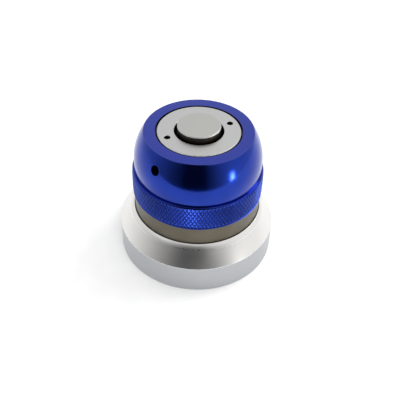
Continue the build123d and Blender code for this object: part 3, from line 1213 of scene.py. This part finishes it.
# ---------------- foot
@dataclass
class Foot:
    """Flat tamping foot with a broken edge and the recess for its nut."""

    nut_room: Point = (13.0 * MM, 4.5 * MM)
    tail: Point = (6.05 * MM, 2.4 * MM)
    lower_chamfer: float = 0.5 * MM
    upper_chamfer: float = 0.8 * MM
    rounding: float = 0.12 * MM

    def build(self) -> None:
        """Turn the foot and dress it."""
        radius, low, high = extent("foot")
        outline = [
            (0.0, low),
            (radius / 2, low),
            (radius - self.lower_chamfer, low),
            (radius, low + self.lower_chamfer),
            (radius, high - self.upper_chamfer),
            (radius - self.upper_chamfer, high),
            (self.nut_room[0], high),
            self.nut_room,
            (self.tail[0], self.nut_room[1]),
            self.tail,
            (0.0, self.tail[1]),
        ]
        piece = turned_piece("foot_turned", outline, self.rounding, 3)
        steel = TurnedMetal(
            "polished_foot_steel",
            colour=srgb(210, 211, 212),
            roughness=0.22,
            pitch=0.16 * MM,
            edges=((radius, low),),
        )
        finish_piece(piece, Body.FOOT, steel.build(), "foot")


# ---------------- springs
@dataclass(frozen=True)
class Stretch:
    """A length of a spring that one joint shortens."""

    body: Body
    joint: str
    travel: float
    share: float = 1.0


@dataclass
class CoilSpring:
    """Round-wire compression spring with ends ground flat."""

    node: str
    wire: float
    turns: float
    fixed_at_top: bool
    stretches: list[Stretch]
    wire_sides: int = 16
    steps_per_turn: int = 40

    def wind(self, low: float, high: float, mean_radius: float) -> bpy.types.Object:
        """Wind the wire a quarter turn past each seat.

        Args:
            low: height of the lower seat.
            high: height of the upper seat.
            mean_radius: radius of the wire's centreline.

        Returns:
            The wound wire, open at both ends.
        """
        pitch = (high - low) / self.turns
        turns = self.turns + 0.5
        steps = int(self.steps_per_turn * self.turns)
        deselect_all()
        bpy.ops.mesh.primitive_circle_add(
            vertices=self.wire_sides,
            radius=self.wire / 2,
            location=(mean_radius, 0, low - pitch / 4),
            rotation=(math.pi / 2, 0, 0),
        )
        spring = bpy.context.object
        spring.name = f"{self.node}_wound"
        settle(spring)
        apply_modifier(
            spring,
            "SCREW",
            axis="Z",
            angle=2 * math.pi * turns,
            screw_offset=pitch * turns,
            steps=steps,
            render_steps=steps,
            use_merge_vertices=False,
        )
        with editing(spring):
            bpy.ops.mesh.normals_make_consistent(inside=False)
        return spring

    def grind(self, spring: bpy.types.Object, low: float, high: float) -> None:
        """Cut the spring flat at two heights.

        Args:
            spring: the wound wire.
            low: height of the lower cut.
            high: height of the upper cut.
        """
        with editing(spring):
            for level, upper in ((high, True), (low, False)):
                bpy.ops.mesh.select_all(action="SELECT")
                bpy.ops.mesh.bisect(
                    plane_co=(0, 0, level),
                    plane_no=(0, 0, 1),
                    use_fill=True,
                    clear_outer=upper,
                    clear_inner=not upper,
                    threshold=MERGE,
                )

    def build(self) -> None:
        """Wind the spring and seat each stretch of it, from the top down."""
        radius, low, high = extent(self.node)
        mean_radius = radius - self.wire / 2
        wire = DrawnWire(f"{self.node}_wire").build()
        upper = high
        for index, stretch in enumerate(self.stretches, start=1):
            length = stretch.share * (high - low)
            lower = upper - length
            piece = self.wind(low, high, mean_radius)
            piece.name = f"{self.node}_wound_{index}"
            seam = 0.0 if index == len(self.stretches) else SEAM
            self.grind(piece, lower + seam, upper)
            smooth(piece, Shading.ROUND)
            finish_piece(piece, stretch.body, wire, self.node)
            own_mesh(piece)
            upper = lower


# ---------------- carried-over pieces
def dress_kept_nodes() -> None:
    """Give every CAD node that stays its own finish."""
    hardened = TurnedMetal("ground_hardened_steel", colour=srgb(176, 177, 180), roughness=0.2, pitch=0.2 * MM)
    soft = TurnedMetal("turned_small_steel", colour=srgb(196, 197, 199), roughness=0.3, pitch=0.15 * MM)
    bronze = TurnedMetal("sintered_bronze", colour=srgb(176, 140, 88), roughness=0.42, pitch=0.2 * MM)
    black = Moulded("black_oxide_steel", colour=(0.02, 0.02, 0.022), roughness=0.38, grain=0.1 * MM,
                    grain_depth=0.003 * MM)
    acetal = Moulded("natural_acetal", colour=srgb(226, 224, 214), roughness=0.42)
    urethane = Moulded("black_urethane", colour=(0.018, 0.018, 0.018), roughness=0.6)
    wire = DrawnWire("snap_ring_steel")
    finishes = {
        hardened: ("shaft", "hammer", "trip_ball_1", "trip_ball_2", "trip_ball_3",
                   "thrust_washer", "trip_spindle"),
        soft: ("spring_retainer", "foot_jam_nut"),
        bronze: ("guide_bush", "spindle_bush"),
        black: ("lock_screw", "spindle_clip"),
        acetal: ("wear_ring",),
        urethane: ("bumper_washer",),
        wire: ("body_snap_ring",),
    }
    for finish, names in finishes.items():
        material = finish.build()
        for name in names:
            node = frame["nodes"][name]
            node.data.materials.clear()
            node.data.materials.append(material)
            LOG.info("%s: %s", name, finish.name)


# ---------------- studio
@dataclass(frozen=True)
class Lamp:
    """Round area light aimed at the tool, out of the camera's sight."""

    name: str
    place: tuple[float, float, float]
    size: float
    energy: float
    mirrored: bool = True

    def build(self) -> None:
        """Hang the lamp and turn it to the tool's middle."""
        data = bpy.data.lights.new(self.name, "AREA")
        data.shape = "DISK"
        data.size = self.size
        data.energy = self.energy
        lamp = bpy.data.objects.new(self.name, data)
        lamp.location = self.place
        aim = Vector((0, 0, 20 * MM)) - lamp.location
        lamp.rotation_mode = "QUATERNION"
        lamp.rotation_quaternion = aim.to_track_quat("-Z", "Y")
        lamp.visible_camera = False
        lamp.visible_glossy = self.mirrored
        bpy.context.scene.collection.objects.link(lamp)


Fade = tuple[float, float]      # the degrees over which a patch of the tent fades out


def patch(nodes: Nodes, across: object, upward: object, fades: tuple[Fade, Fade]) -> bpy.types.NodeSocket:
    """A patch of the tent.

    Args:
        nodes: the world's nodes.
        across: angle sideways from the patch's middle.
        upward: angle up from the patch's middle.
        fades: where the patch fades out, sideways and upwards.

    Returns:
        1 in the patch, fading to 0 outside it.
    """
    (near, far), (low, high) = fades
    return nodes.math("MULTIPLY", nodes.ramp(across, near, far, 1.0, 0.0),
                      nodes.ramp(upward, low, high, 1.0, 0.0))


@dataclass
class Studio:
    """Pale floor, white tent, soft lamps and the camera. Angles are in degrees."""

    camera_pitch: float = 42.02
    camera_roll: float = 1.93
    camera_place: tuple[float, float, float] = (1.36 * MM, -204.05 * MM, 205.46 * MM)
    focal_length: float = 54.0
    floor_size: float = 6.0
    floor_shift: tuple[float, float, float] = (0, 2.85, -0.05 * MM)
    right_squeeze: float = 1.7          # the open side fades sooner to the right
    wide_patch: tuple[Fade, Fade] = ((8.0, 124.0), (26.0, 42.0))
    tall_patch: tuple[Fade, Fade] = ((20.0, 60.0), (45.0, 52.0))
    dark: Colour = (0.03, 0.03, 0.034)
    strip: tuple[Fade, Fade] = ((0.0, 6.0), (0.0, 13.0))
    strip_side: float = 59.0
    strip_lift: float = -7.0
    strip_radiance: float = 24.0
    lamps: tuple[Lamp, ...] = (
        Lamp("key", (0.55, 0.35, 0.75), 0.5, 3.0),
        Lamp("fill", (0.1, -0.75, 0.7), 0.8, 3.0, mirrored=False),
    )

    def floor(self) -> None:
        """A wide pale floor that ends in front of the tool, as a sheet of card does."""
        deselect_all()
        bpy.ops.mesh.primitive_plane_add(size=1.0)
        floor = bpy.context.object
        floor.name = "floor"
        with editing(floor):
            bpy.ops.transform.resize(
                value=(self.floor_size, self.floor_size, 1.0), center_override=(0, 0, 0)
            )
            bpy.ops.transform.translate(value=self.floor_shift)
        made = Material("pale_floor")
        grain = made.group(SHARED.grain, Size=0.5 * MM)
        colour = made.nodes.mix(grain.outputs["Tone"], paint(WHITE, 0.90), paint(WHITE, 0.92))
        made.put(Base_Color=colour, Roughness=0.9)
        floor.data.materials.append(made.data)

    def world(self) -> None:
        """A white tent that is open and dark towards the front, with one strip light."""
        world = bpy.data.worlds.new("studio")
        bpy.context.scene.world = world
        world.use_nodes = True
        world.node_tree.nodes.clear()
        nodes = Nodes(world.node_tree)
        way = nodes.add("SeparateXYZ", Vector=nodes.add("TexCoord").outputs["Generated"]).outputs
        forward = nodes.math("MULTIPLY", way["Y"], -1.0)
        side = nodes.math("MULTIPLY", nodes.math("ARCTAN2", way["X"], forward), DEGREES)
        lift = nodes.math("MULTIPLY", nodes.math("ARCSINE", way["Z"]), DEGREES)
        turn = nodes.math("MAXIMUM", nodes.math("MULTIPLY", side, -1.0),
                          nodes.math("MULTIPLY", side, self.right_squeeze))
        wide = patch(nodes, turn, lift, self.wide_patch)
        tall = patch(nodes, turn, lift, self.tall_patch)
        tent = nodes.mix(nodes.math("MAXIMUM", wide, tall), paint(WHITE), paint(self.dark))
        across = nodes.math("ABSOLUTE", nodes.math("SUBTRACT", side, self.strip_side))
        upward = nodes.math("ABSOLUTE", nodes.math("SUBTRACT", lift, self.strip_lift))
        strip = patch(nodes, across, upward, self.strip)
        lit = nodes.mix(strip, tent, (*(self.strip_radiance * channel for channel in WHITE), 1.0))
        ray = nodes.add("LightPath").outputs
        soft = nodes.mix(ray["Is Diffuse Ray"], lit, paint(WHITE))
        colour = nodes.mix(ray["Is Camera Ray"], soft, paint(WHITE))
        back = nodes.add("Background", Color=colour, Strength=1.0)
        nodes.add("OutputWorld", Surface=back.outputs[0])

    def camera(self) -> None:
        """Camera in front of the tool, looking down on it with a slight roll."""
        data = bpy.data.cameras.new("camera")
        data.lens = self.focal_length
        data.sensor_width = 36.0
        data.clip_start = 0.01
        data.clip_end = 20.0
        camera = bpy.data.objects.new("camera", data)
        tilt = Matrix.Rotation(math.radians(90 - self.camera_pitch), 4, "X")
        roll = Matrix.Rotation(math.radians(self.camera_roll), 4, "Z")
        camera.matrix_world = Matrix.Translation(self.camera_place) @ tilt @ roll
        bpy.context.scene.collection.objects.link(camera)
        bpy.context.scene.camera = camera

    def build(self) -> None:
        """Set up floor, world, lamps, camera and the view transform."""
        self.floor()
        self.world()
        for lamp in self.lamps:
            lamp.build()
        self.camera()
        bpy.context.scene.view_settings.view_transform = "Standard"
        bpy.context.scene.view_settings.look = "None"


@dataclass
class Tamper:
    """The whole tool, piece by piece."""

    springs: list[CoilSpring] = field(default_factory=lambda: [
        CoilSpring("main_spring", 2.6 * MM, 4.0, True, [
            Stretch(Body.CARRIER, "adjuster_sink", 3.0 * MM, share=0.375),
            Stretch(Body.HANDLE, "foot_retract", 5.0 * MM, share=0.625),
        ]),
        CoilSpring("levelling_spring", 0.8 * MM, 2.5, False, [
            Stretch(Body.RING, "press_down", 8.1 * MM),
        ]),
        CoilSpring("button_spring", 0.7 * MM, 4.0, True, [
            Stretch(Body.BUTTON, "button_press", 2.3 * MM),
        ]),
        CoilSpring("reset_spring", 0.8 * MM, 3.0, False, [
            Stretch(Body.FOOT, "hammer_fall", 3.0 * MM),
        ]),
    ])

    def build(self) -> None:
        """Build and dress every piece in order."""
        for turned in (LevellingRing, InnerBody, KnurledBand, Cap, AdjusterPlate, Button, Foot):
            turned().build()
        for spring in self.springs:
            spring.build()
        dress_kept_nodes()


def main() -> None:
    """Build the tool and its studio."""
    logging.basicConfig(level=logging.INFO, format="%(name)s %(message)s")
    Tamper().build()
    Studio().build()
    deselect_all()


if __name__ == "__main__":
    main()
